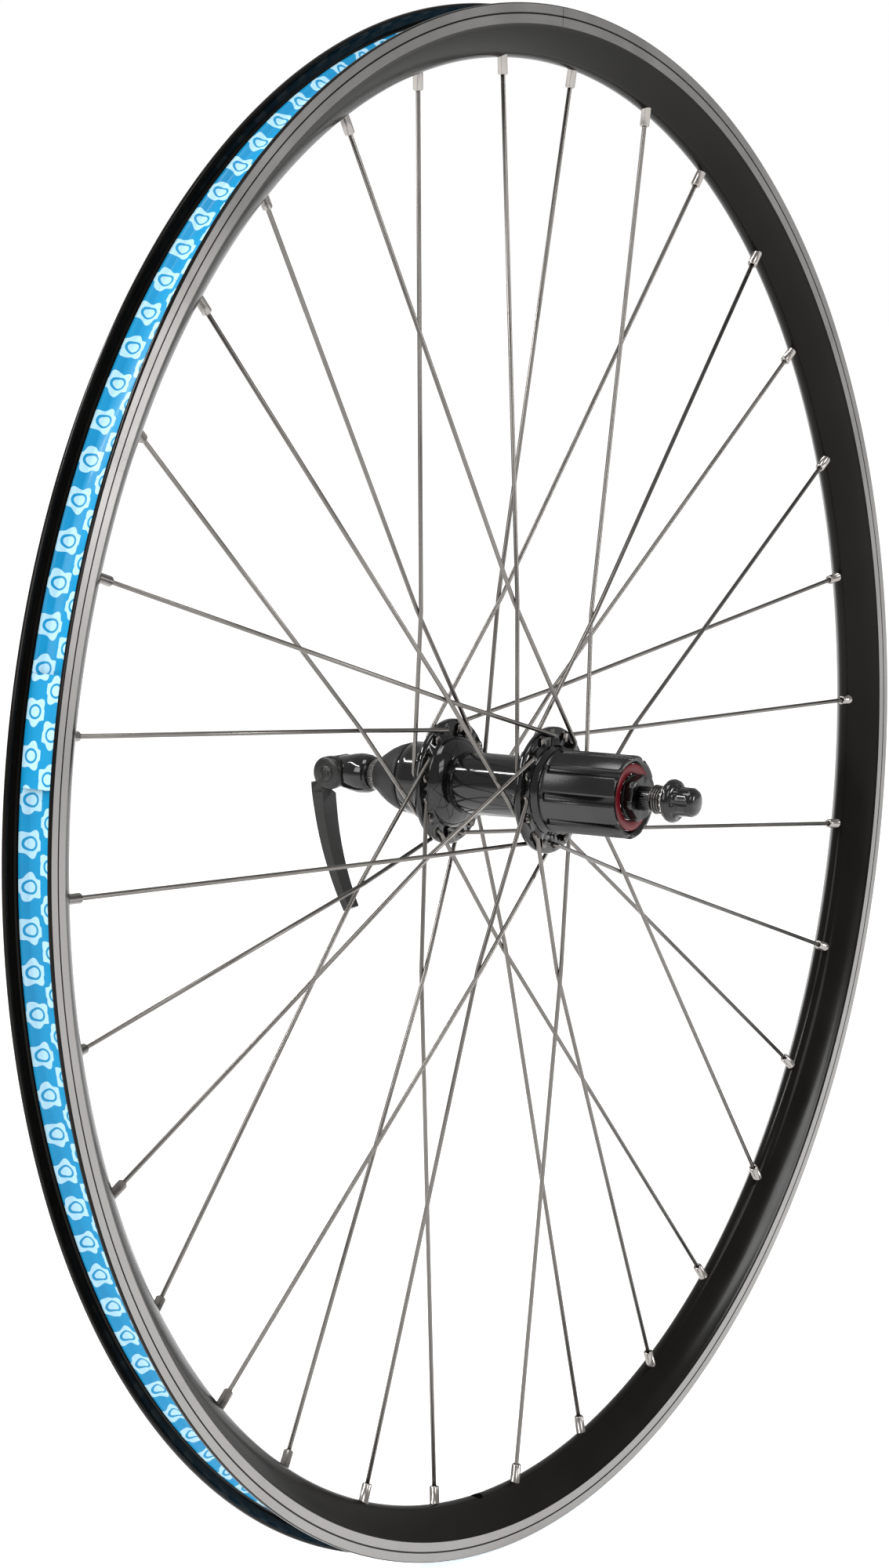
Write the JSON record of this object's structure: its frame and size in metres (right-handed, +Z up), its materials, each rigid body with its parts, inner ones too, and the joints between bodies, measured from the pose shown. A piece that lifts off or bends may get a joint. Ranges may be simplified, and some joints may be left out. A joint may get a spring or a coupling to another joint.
{
  "type": "bicycle rear wheel",
  "caption": "Spoked bicycle rear wheel with a black rim, blue rim tape, freehub body, hollow axle and quick-release lever skewer.",
  "frame": {"origin": "middle of the wheel on its axle, half way between the two locknut faces", "axes": "+Y along the axle to the quick-release lever, -Y to the freehub, +Z up, lever closed and pointing down"},
  "size_m": [0.634, 0.1817, 0.634],
  "materials": {
    "black_anodised": "satin anodised",
    "machined_aluminium": "fine turned rings",
    "blue_tape": "thin printed tape",
    "bright_nickel": "polished nickel plate",
    "spoke_steel": "drawn stainless wire",
    "gloss_black": "gloss black",
    "dark_steel": "dark hardened steel",
    "bearing_steel": "polished ball steel",
    "black_rubber": "matt rubber",
    "red_seal": "red seal lip",
    "zinc_steel": "zinc plate",
    "satin_black": "satin black",
    "spring_steel": "oiled spring wire"
  },
  "bodies": {
    "axle_set": {"axle": "dark_steel", "left_cone": "bearing_steel", "right_cone": "bearing_steel", "left_spacer": "machined_aluminium", "left_locknut": "zinc_steel", "right_locknut": "dark_steel", "right_dust_cap": "satin_black", "left_boot": "black_rubber"},
    "wheel": {"rim": "black_anodised", "rim_valve_section": "black_anodised", "rim_tape": "blue_tape", "nipples": "bright_nickel", "drive_spokes_leading": "spoke_steel", "left_spokes_trailing": "spoke_steel", "drive_spokes_trailing": "spoke_steel", "left_spokes_leading": "spoke_steel", "hub_shell": "gloss_black", "left_bearing_cup": "bearing_steel", "left_dust_cap": "satin_black", "drive_collar": "gloss_black", "freehub_core": "dark_steel", "freehub_end_cup": "bearing_steel", "freehub_bolt": "zinc_steel", "freehub_seal": "red_seal", "pawl_spring": "spring_steel"},
    "left_ball_row": {"left_balls": "bearing_steel"},
    "right_ball_row": {"right_balls": "bearing_steel"},
    "freehub": {"freehub_body": "dark_steel"},
    "freehub_inner_row": {"freehub_inner_balls": "bearing_steel"},
    "freehub_outer_row": {"freehub_outer_balls": "bearing_steel"},
    "pawl_one": {"pawl_a": "dark_steel"},
    "pawl_two": {"pawl_b": "dark_steel"},
    "housing": {"cam_housing": "gloss_black", "lever_spring": "spring_steel"},
    "lever_set": {"lever": "satin_black", "cam_shaft": "zinc_steel", "lever_cap": "satin_black", "shaft_clip": "spring_steel"},
    "rod": {"skewer_rod": "zinc_steel"},
    "nut_carrier": {"nut_spring": "spring_steel"},
    "nut": {"skewer_nut": "gloss_black", "nut_insert": "zinc_steel"}
  },
  "joints": [
    {"name": "wheel_spin", "type": "hinge", "parent": "axle_set", "child": "wheel", "pos_m": [0, 0, 0], "axis": [0, 1, 0], "continuous": true},
    {"name": "left_balls_roll", "type": "hinge", "parent": "axle_set", "child": "left_ball_row", "pos_m": [0, 0.0405, 0], "axis": [0, 1, 0], "continuous": true},
    {"name": "right_balls_roll", "type": "hinge", "parent": "axle_set", "child": "right_ball_row", "pos_m": [0, -0.0555, 0], "axis": [0, 1, 0], "continuous": true},
    {"name": "freehub_spin", "type": "hinge", "parent": "wheel", "child": "freehub", "pos_m": [0, -0.0435, 0], "axis": [0, 1, 0], "continuous": true},
    {"name": "freehub_inner_roll", "type": "hinge", "parent": "wheel", "child": "freehub_inner_row", "pos_m": [0, -0.03, 0], "axis": [0, 1, 0], "continuous": true},
    {"name": "freehub_outer_roll", "type": "hinge", "parent": "wheel", "child": "freehub_outer_row", "pos_m": [0, -0.0495, 0], "axis": [0, 1, 0], "continuous": true},
    {"name": "pawl_one_swing", "type": "hinge", "parent": "wheel", "child": "pawl_one", "pos_m": [0.0097, -0.04, 0], "axis": [0, 1, 0], "range_deg": [0, 12], "stiffness_Nm_per_rad": 0.004, "deforming": ["pawl_spring"]},
    {"name": "pawl_two_swing", "type": "hinge", "parent": "wheel", "child": "pawl_two", "pos_m": [-0.0097, -0.04, 0], "axis": [0, 1, 0], "range_deg": [0, 12], "stiffness_Nm_per_rad": 0.004, "deforming": ["pawl_spring"]},
    {"name": "skewer_float", "type": "slide", "parent": "axle_set", "child": "housing", "axis": [0, 1, 0], "range_m": [0, 0.0045], "stiffness_N_per_m": 300, "deforming": ["nut_spring", "lever_spring"]},
    {"name": "cam_lever", "type": "hinge", "parent": "housing", "child": "lever_set", "pos_m": [0, 0.0835, 0], "axis": [1, 0, 0], "range_deg": [0, 165]},
    {"name": "skewer_draw", "type": "slide", "parent": "housing", "child": "rod", "axis": [0, -1, 0], "range_m": [0, 0.0022]},
    {"name": "nut_travel", "type": "slide", "parent": "rod", "child": "nut_carrier", "axis": [0, -1, 0], "range_m": [0, 0.008]},
    {"name": "nut_turn", "type": "hinge", "parent": "nut_carrier", "child": "nut", "pos_m": [0, -0.085, 0], "axis": [0, -1, 0], "range_deg": [0, 3600]}
  ],
  "couplings": [
    {"joint": "left_balls_roll", "follows": "wheel_spin", "ratio": 0.6145},
    {"joint": "right_balls_roll", "follows": "wheel_spin", "ratio": 0.6194},
    {"joint": "freehub_inner_roll", "follows": "freehub_spin", "ratio": 0.5446},
    {"joint": "freehub_outer_roll", "follows": "freehub_spin", "ratio": 0.5446},
    {"joint": "skewer_draw", "follows": "cam_lever", "m_per_rad": 0.0007003},
    {"joint": "nut_travel", "follows": "nut_turn", "m_per_rad": 0.00012732}
  ]
}
